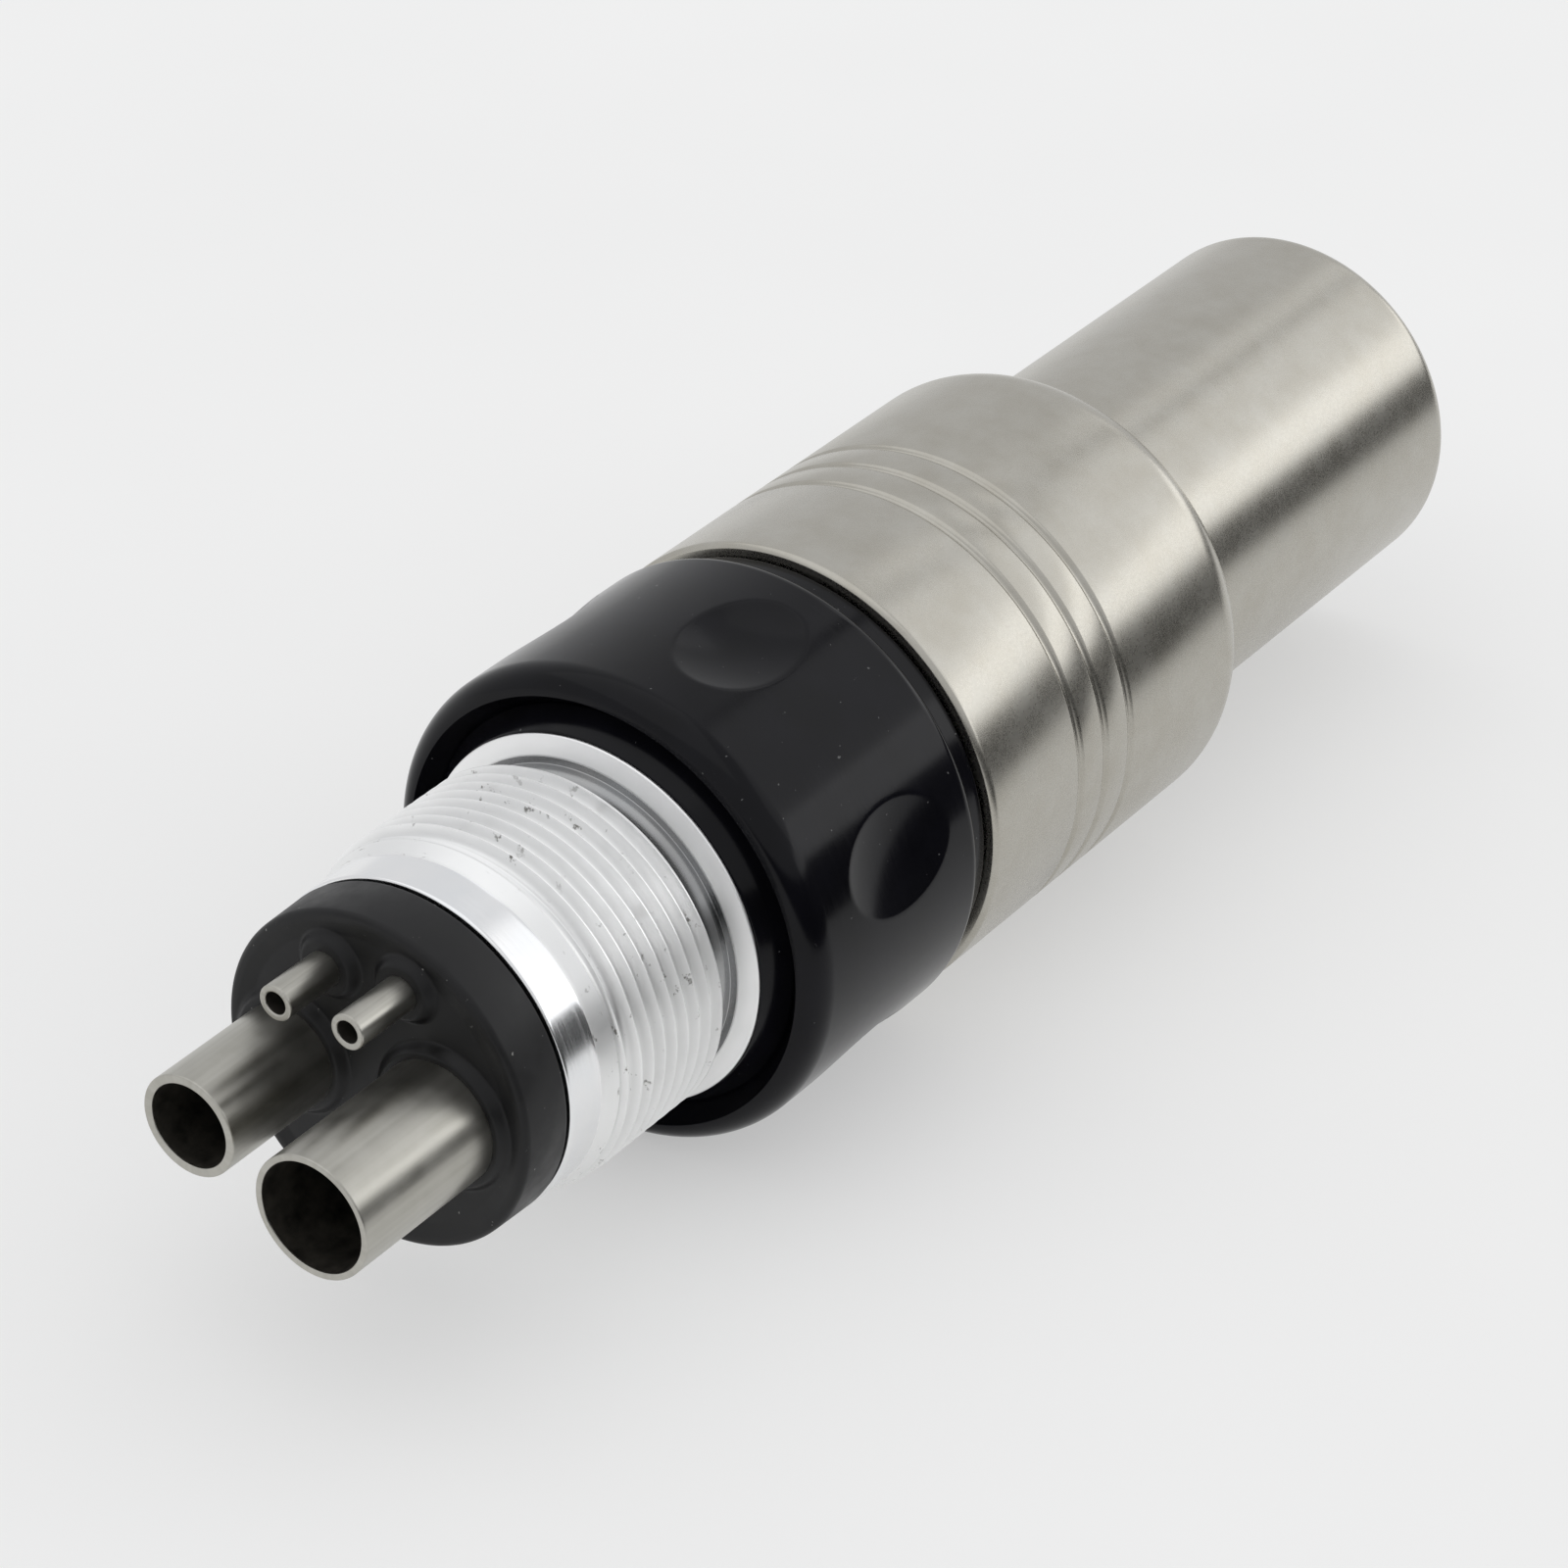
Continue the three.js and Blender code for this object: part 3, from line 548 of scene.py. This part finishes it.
def gasket():
    """Rubber disc whose face rises in a soft lip round each tube."""
    face = straight((GASKET_FACE, 0.0), (GASKET_FACE, GASKET_R - GASKET_ROUND - 0.1), 110)
    rim_start, rim_r = GASKET_FACE + GASKET_ROUND, GASKET_R - GASKET_ROUND
    rim = arc(rim_start, rim_r, GASKET_ROUND, GASKET_ROUND, 180, 90, 8)
    side = [(GASKET_FACE + 0.3, GASKET_R + 0.002), (GASKET_BACK - 0.15, GASKET_R + 0.045)]
    back = [(GASKET_BACK - 0.02, GASKET_R), (GASKET_BACK, GASKET_R - 0.1), (GASKET_BACK, 0.0)]
    lips = [(across(name), radius) for name, (radius, _) in TUBES.items()]

    def relief(along, radius, angle):
        if along > GASKET_FACE + 0.001 or radius > GASKET_R - 0.3:
            return along, radius
        y, z = radius * math.cos(angle), radius * math.sin(angle)
        rise = 0.0
        for (centre_y, centre_z), tube_r in lips:
            gap = math.hypot(y - centre_y, z - centre_z) - tube_r
            width = SMALL_LIP_WIDTH if tube_r < SMALL_TUBE_R else LARGE_LIP_WIDTH
            step = min(max((width - gap) / LIP_SLOPE, 0.0), 1.0)
            rise = max(rise, step * step * (3 - 2 * step))
        hollow = FACE_HOLLOW * min(max((GASKET_R - 0.35 - radius) / 0.5, 0.0), 1.0)
        return along + hollow - (LIP_HEIGHT + hollow) * rise, radius

    piece = revolved("hose_gasket_rubber", face + rim + side + back, FINE * 2, relief=relief)
    return fit(piece, "motor_body", ["hose_gasket"], RUBBER)


def tube(node, outer, bore):
    """A plain tube with broken edges, painted dark inside as shade."""
    mouth, inner_end = station(node, 0), station(node, 1)
    centre = across(node)
    edge = min(0.06, (outer - bore) * 0.3)
    outline = softened([(mouth, bore), (mouth, outer), (inner_end, outer), (inner_end, bore)], edge)
    piece = revolved(node + "_drawn", outline, 128 if outer > SMALL_TUBE_R else 64, centre)
    fit(piece, "motor_body", [node], tube_steel(node + "_steel", centre))
    # the bore faces get a near-black finish, painted shade deep in the tube
    piece.data.materials.append(BORE)
    middle = Vector((AXIS_Y + centre[0] * MM, AXIS_Z + centre[1] * MM))
    for face in piece.data.polygons:
        distance = (Vector((face.center.y, face.center.z)) - middle).length / MM
        if distance < bore + 0.02 and face.center.x > REAR_FACE + (mouth + 0.12) * MM:
            face.material_index = 1
    return piece


def cone_radius(along):
    """Radius of the lead-in cone, and of the thread's crests beyond it."""
    risen = (along - BAND_END) / (CONE_END - BAND_END)
    return BAND_R + (THREAD_CREST_R - BAND_R) * min(risen, 1.0)


def thread_radius(along, angle):
    """Radius of a right-hand thread with narrow crests and hollow roots, cut into the cone."""
    turn = ((along - THREAD_START) / THREAD_PITCH - angle / TAU) % 1.0
    from_middle = min(turn, 1 - turn) * 2
    from_crest = max(from_middle - THREAD_CREST_WIDTH, 0.0) / (1 - THREAD_CREST_WIDTH)
    hollow = 1 - (1 - from_crest) ** 2.4
    fade_in = min(max((along - THREAD_START) / 0.3, 0.0), 1.0)
    crest = cone_radius(along)
    return crest - (crest - THREAD_ROOT_R) * hollow * fade_in


def screw_thread(mesh_work, segments, rows_per_turn=28):
    """A strip of faces whose rows follow the helix, between a plain circle at each end."""
    step = THREAD_PITCH / rows_per_turn
    rows = round((THREAD_END - THREAD_START) / step) + rows_per_turn
    columns = []
    for i in range(segments):
        angle = TAU * i / segments
        column = []
        for k in range(rows + 1):
            along = THREAD_START - THREAD_PITCH + k * step + THREAD_PITCH * angle / TAU
            along = min(max(along, THREAD_START), THREAD_END)
            column.append(mesh_work.verts.new(on_axis(along, thread_radius(along, angle), angle)))
        columns.append(column)
    for i in range(segments):
        low = columns[i]
        high, shift = (columns[i + 1], 0) if i + 1 < segments else (columns[0], rows_per_turn)
        for k in range(rows):
            a, b = min(k + shift, rows), min(k + 1 + shift, rows)
            corners = [low[k], low[k + 1], high[b], high[a]]
            mesh_work.faces.new(list(dict.fromkeys(corners)))
    bmesh.ops.remove_doubles(mesh_work, verts=mesh_work.verts, dist=1e-7)
    bmesh.ops.dissolve_degenerate(mesh_work, edges=mesh_work.edges, dist=1e-8)


def connector():
    """Band, lead-in cone, undercut and flange as one turned body, and the screw thread round it."""
    cone_end = (THREAD_START, cone_radius(THREAD_START))
    rear = softened([(0.0, 0.0), (0.0, BAND_R), (BAND_END, BAND_R), cone_end], 0.1, False)
    core = [(THREAD_START + 0.05, CORE_R), (THREAD_END - 0.05, CORE_R)]
    front = softened([
        (THREAD_END, UNDERCUT_R + 0.3), (THREAD_END + 0.2, UNDERCUT_R),
        (UNDERCUT_END - 0.02, UNDERCUT_R), (UNDERCUT_END, FLANGE_FOOT_R),
        (FLANGE_END - 0.11, FLANGE_R - 0.03), (FLANGE_END - 0.07, FLANGE_R), (FLANGE_END, FLANGE_R),
        (FLANGE_END, SPIGOT_R), (SPIGOT_END, SPIGOT_R), (SPIGOT_END, 0.0),
    ], 0.03, False)
    body = revolved("connector_turned", rear + core + front, EXTRA_FINE)
    fit(body, "motor_body", ["connector_body"], ALUMINIUM)
    body.data.materials.append(POLISHED)
    body.data.materials.append(SHADED_UNDERCUT)
    for face in body.data.polygons:
        along = (face.center.x - REAR_FACE) / MM
        if along < BAND_END:
            face.material_index = 1
        # faces in the undercut take the darker copy, painted shade in the recess
        elif THREAD_END + 0.05 < along < UNDERCUT_END - 0.01:
            face.material_index = 2
    work = bmesh.new()
    screw_thread(work, EXTRA_FINE)
    thread = close_thread(work, EXTRA_FINE)
    return fit(thread, "motor_body", ["connector_body"], THREADED)


def close_thread(mesh_work, segments):
    """Joins the thread's two open edges through a plain bore, so that it is one closed body."""
    bore = []
    for along in (THREAD_START, THREAD_END):
        angles = [TAU * i / segments for i in range(segments)]
        bore.append([mesh_work.verts.new(on_axis(along, THREAD_BORE_R, angle)) for angle in angles])
    for i in range(segments):
        j = (i + 1) % segments
        mesh_work.faces.new((bore[0][i], bore[0][j], bore[1][j], bore[1][i]))
    open_edges = [edge for edge in mesh_work.edges if edge.is_boundary]
    for along in (THREAD_START, THREAD_END):
        plane = REAR_FACE + along * MM
        rim = [edge for edge in open_edges if all(abs(v.co.x - plane) < 1e-7 for v in edge.verts)]
        bmesh.ops.bridge_loops(mesh_work, edges=rim)
    return finished("connector_thread", mesh_work)


def retainer():
    """Black collar that holds the control ring, sloping back from the flange."""
    outline = softened([
        (RETAINER_START, RETAINER_BORE_R), (RETAINER_START, FLANGE_R),
        (RETAINER_SLOPE_END, RETAINER_R - 0.05), (RETAINER_SLOPE_END + 0.1, RETAINER_R),
        (RETAINER_END, RETAINER_R), (RETAINER_END, RETAINER_BORE_R),
    ], 0.08)
    piece = revolved("ring_retainer_turned", outline)
    return fit(piece, "motor_body", ["ring_retainer"], BLACK)


# ---------- control ring ----------


def dimple_floor(along, angle):
    """Radius of the dimples' round floor at a point, or far outside the ring where there is none."""
    reach = RING_R - DIMPLE_DEPTH + DIMPLE_SWEEP_R
    pitch = TAU / DIMPLE_COUNT
    off = (angle - DIMPLE_FIRST_ANGLE + pitch / 2) % pitch - pitch / 2
    inside = DIMPLE_SWEEP_R**2 - (along - DIMPLE_STATION) ** 2 - (reach * math.sin(off)) ** 2
    if inside <= 0:
        return RING_R * 2
    return reach * math.cos(off) - math.sqrt(inside)


def control_ring():
    """Grip ring with finger dimples, and an inner lip that the collar holds."""
    rim = arc(RING_START + RIM_LENGTH, RIM_R, RIM_LENGTH, RING_R - RIM_R, 180, 90, 24)
    side_start = (RING_START + RIM_LENGTH + 0.04, RING_R)
    side = straight(side_start, (RING_END - RING_ROUND - 0.04, RING_R), 96)
    end_round = arc(RING_END - RING_ROUND, RING_R - RING_ROUND, RING_ROUND, RING_ROUND, 90, 0, 12)
    mouth = [(RING_LIP_START, RING_LIP_R), (RING_LIP_START, 7.12), (RING_LIP_START - 0.07, 7.22)]
    bore = [
        (RING_END, RING_BORE_R + 0.15), (RING_END - 0.05, RING_BORE_R),
        (RING_LIP_END, RING_BORE_R), (RING_LIP_END, RING_LIP_R),
    ]
    outline = mouth + rim + side + end_round + bore

    def relief(along, radius, angle):
        if radius < RING_R - 0.001 or not 11 < along < 18:
            return along, radius
        return along, smooth_min(radius, dimple_floor(along, angle), DIMPLE_EDGE)

    piece = revolved("control_ring_dimpled", outline, RING_SEGMENTS, relief=relief)
    return fit(piece, "control_ring", ["control_ring"], BLACK)


def spacer():
    """Thin black ring in the gap between the control ring and the case."""
    outline = softened([
        (SPACER_START, RING_BORE_R), (SPACER_START, SPACER_R),
        (SPACER_END, SPACER_R), (SPACER_END, RING_BORE_R),
    ], 0.06)
    piece = revolved("case_spacer_turned", outline)
    return fit(piece, "motor_body", ["case_spacer"], BLACK)


# ---------- case and nose ----------


def groove(middle):
    """A narrow round-bottomed groove with broken edges."""
    half, depth = GROOVE_HALF_WIDTH, GROOVE_DEPTH
    bottom = arc(middle, CASE_R - depth * 0.45, half * 0.62, depth * 0.55, 190, 350, 8)
    start = [(middle - half - 0.05, CASE_R), (middle - half, CASE_R - 0.012)]
    return start + bottom + [(middle + half, CASE_R - 0.012), (middle + half + 0.05, CASE_R)]


def motor_case():
    """Grooved case, rounded where it steps down to the nose."""
    outline = [
        (CASE_START, CASE_BORE_R), (CASE_START, CASE_R - 0.18), (CASE_START + 0.02, CASE_R - 0.13),
        (CASE_START + 0.12, CASE_R - 0.02), (CASE_START + 0.17, CASE_R),
        (CASE_START + 0.26, CASE_R),
    ]
    for middle in CASE_GROOVES:
        outline += groove(middle)
    round_start = CASE_END - CASE_ROUND
    outline += [(round_start - 0.2, CASE_R), (round_start - 0.05, CASE_R)]
    outline += arc(round_start, CASE_FACE_R, CASE_ROUND, CASE_R - CASE_FACE_R, 90, 4, 24)
    outline += [
        (CASE_END, CASE_FACE_R - 0.15), (CASE_END, CASE_NECK_R),
        (CASE_WALL_START, CASE_NECK_R), (CASE_WALL_START, CASE_BORE_R),
    ]
    piece = revolved("motor_case_turned", outline, EXTRA_FINE)
    return fit(piece, "motor_body", ["motor_case"], SATIN)


def nose():
    """Smooth barrel with a rounded end and an open bore."""
    edge = NOSE_BORE_EDGE
    outline = [
        (NOSE_START, SEAL_POCKET_R), (NOSE_START, NOSE_SPIGOT_R), (NOSE_SHOULDER, NOSE_SPIGOT_R),
        (NOSE_SHOULDER, NOSE_R - 0.15), (NOSE_SHOULDER + 0.07, NOSE_R - 0.03),
        (NOSE_SHOULDER + 0.15, NOSE_R), (NOSE_SHOULDER + 0.3, NOSE_R),
        (NOSE_END - NOSE_ROUND - 0.2, NOSE_R),
    ]
    outline += arc(NOSE_END - NOSE_ROUND, NOSE_R - NOSE_ROUND, NOSE_ROUND, NOSE_ROUND, 90, 0, 16)
    outline += [(NOSE_END, 5.6), (NOSE_END, NOSE_BORE_R + edge + 0.08)]
    outline += arc(NOSE_END - edge, NOSE_BORE_R + edge, edge, -edge, 0, 90, 6)
    outline += [
        (NOSE_END - 2 * edge, NOSE_BORE_R), (NOSE_BORE_START + 0.2, NOSE_BORE_R),
        (NOSE_BORE_START + 0.05, NOSE_BORE_R - 0.05), (NOSE_BORE_START, NOSE_BORE_R - 0.2),
        (NOSE_BORE_START, NOSE_NECK_BORE_R + 0.1), (NOSE_BORE_START, NOSE_NECK_BORE_R),
        (SEAL_POCKET_END, NOSE_NECK_BORE_R), (SEAL_POCKET_END, SEAL_POCKET_R),
    ]
    piece = revolved("nose_barrel_turned", outline, EXTRA_FINE)
    return fit(piece, "motor_body", ["nose_barrel"], SATIN)


def drive_dog():
    """Coupling with a slot across its tip."""
    outline = softened([
        (DOG_START, DOG_BORE_R), (DOG_START, DOG_R), (DOG_END, DOG_R), (DOG_END, DOG_TIP_BORE_R),
        (DOG_SLOT_START, DOG_TIP_BORE_R), (DOG_SLOT_START, DOG_VENT_R),
        (DOG_BORE_END, DOG_VENT_R), (DOG_BORE_END, DOG_BORE_R),
    ], 0.12)
    piece = revolved("drive_dog_slotted", outline, 96)
    cutter_work = bmesh.new()
    bmesh.ops.create_cube(cutter_work, size=1.0)
    length, reach = 2.0, 8.0
    for vertex in cutter_work.verts:
        x, y, z = vertex.co
        along = DOG_SLOT_START + (x + 0.5) * length
        side, up = y * reach, z * DOG_SLOT_WIDTH
        vertex.co = (REAR_FACE + along * MM, AXIS_Y + side * MM, AXIS_Z + up * MM)
    cutter = finished("slot_cutter", cutter_work)
    cut = piece.modifiers.new("slot", "BOOLEAN")
    cut.object = cutter
    cut.solver = "EXACT"
    bpy.context.view_layer.objects.active = piece
    bpy.ops.object.modifier_apply(modifier=cut.name)
    bpy.data.objects.remove(cutter)
    piece.data.set_sharp_from_angle(angle=math.radians(30))
    return fit(piece, "drive_dog", ["drive_dog"], GEAR_STEEL)


def dog_spring():
    """Coil round the shaft; on the real motor it shortens as the dog is pushed back, but here it is
    a fixed shape.
    """
    steps = round(SPRING_TURNS * 28)
    sides = 10
    start = SPRING_START
    work = bmesh.new()
    loops = []
    for i in range(steps + 1):
        turned = TAU * SPRING_TURNS * i / steps
        along = start + (SPRING_END - start) * i / steps
        loop = []
        for k in range(sides):
            around = TAU * k / sides
            wire_along = along + SPRING_WIRE_R * math.sin(around)
            wire_radius = SPRING_R + SPRING_WIRE_R * math.cos(around)
            loop.append(work.verts.new(on_axis(wire_along, wire_radius, turned)))
        loops.append(loop)
    for low, high in zip(loops, loops[1:]):
        for k in range(sides):
            work.faces.new((low[k], low[(k + 1) % sides], high[(k + 1) % sides], high[k]))
    work.faces.new(loops[0])
    work.faces.new(loops[-1])
    piece = finished("dog_spring_coil", work)
    fit(piece, "rotor", ["dog_spring"], GEAR_STEEL)
    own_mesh(piece)
    return piece


gasket()
for tube_node, (outer_r, bore_r) in TUBES.items():
    tube(tube_node, outer_r, bore_r)
connector()
retainer()
control_ring()
spacer()
motor_case()
nose()
drive_dog()
dog_spring()

# ---------- the CAD nodes that stay ----------

slot_of = {part["node"]: part["material_slot"] for part in frame["record"]["subparts"]}
for node_name, node_object in frame["nodes"].items():
    finish = FINISHES.get(slot_of[node_name])
    if finish:
        node_object.data.materials.clear()
        node_object.data.materials.append(finish)

# ---------- floor, light and camera ----------

FLOOR_HALF = 3.0
FLAG_LENGTH = 2.0
LENS_MM = 120.4
VIEW_FROM = (REAR_FACE - 0.10226, AXIS_Y - 0.08597, AXIS_Z + 0.09226)
VIEW_ALONG = (0.6942, 0.4898, -0.5274)


def floor():
    """A pale sheet under the motor, lit a little from below so that shadows on it stay faint."""
    glow = {"Emission_Color": (1.0, 1.0, 1.0, 1), "Emission_Strength": 0.4}
    s = Shader("pale_light_table", Roughness=0.8, Specular_IOR_Level=0.0, **glow)
    cloud = s.noise(s.place, 30, 3)
    s.colour(s.ramp(cloud, (0.3, (0.49, 0.49, 0.485)), (0.7, (0.51, 0.51, 0.505))))
    work = bmesh.new()
    bmesh.ops.create_grid(work, x_segments=1, y_segments=1, size=FLOOR_HALF)
    sheet = finished("floor", work)
    sheet.location.z = cad_box[0][2]
    sheet.data.materials.append(s.material)


def flag(name, first, y, z, depth, height):
    """A matt black strip along the motor, seen only in reflections. Metres, with y from the axis."""
    work = bmesh.new()
    bmesh.ops.create_grid(work, x_segments=1, y_segments=1, size=0.5)
    for vertex in work.verts:
        side = vertex.co.y
        along = first + (vertex.co.x + 0.5) * FLAG_LENGTH
        vertex.co = (along, AXIS_Y + y + side * depth, z + (side + 0.5) * height)
    strip = finished(name, work)
    matt_black = Shader(name, Roughness=0.9, Base_Color=(0.01, 0.01, 0.01, 1)).material
    strip.data.materials.append(matt_black)
    strip.visible_camera = False
    strip.visible_diffuse = False
    strip.visible_shadow = False


def softbox(name, direction, distance, width, height, radiance):
    """A rectangular area light aimed at the motor's middle, with the brightness of its face."""
    lamp = bpy.data.lights.new(name, "AREA")
    lamp.shape = "RECTANGLE"
    lamp.size, lamp.size_y = width, height
    lamp.energy = radiance * math.pi * width * height
    light = bpy.data.objects.new(name, lamp)
    away = Vector(direction).normalized()
    light.location = away * distance
    light.rotation_euler = away.to_track_quat("Z", "Y").to_euler()
    bpy.context.collection.objects.link(light)


def sky(strength, tint):
    """Even light from all round."""
    world = bpy.data.worlds.new("studio")
    world.use_nodes = True
    background = world.node_tree.nodes["Background"]
    background.inputs["Color"].default_value = (*tint, 1)
    background.inputs["Strength"].default_value = strength
    bpy.context.scene.world = world


def camera():
    """Looks down the motor from its hose end, at the right and above."""
    lens = bpy.data.cameras.new("camera")
    lens.sensor_width = 36.0
    lens.lens = LENS_MM
    lens.clip_start = 0.005
    viewer = bpy.data.objects.new("camera", lens)
    viewer.location = VIEW_FROM
    viewer.rotation_euler = Vector(VIEW_ALONG).to_track_quat("-Z", "Y").to_euler()
    bpy.context.collection.objects.link(viewer)
    bpy.context.scene.camera = viewer


floor()
sky(0.76, (0.98, 0.985, 1.0))
softbox("window", (0.694, -0.665, 0.276), 0.6, 0.9, 0.17, 1.15)
softbox("side_panel", (0.694, -0.413, 0.59), 0.7, 0.9, 0.36, 0.4)
softbox("overhead", (-0.15, 0.2, 1.0), 0.8, 1.1, 1.1, 0.3)
flag("low_flag", -0.7, -0.042, 0.0, 0.0, 0.02)
flag("high_flag", 0.475, -0.03, 0.5, 0.05, 0.0)
camera()
bpy.context.scene.view_settings.view_transform = "Standard"
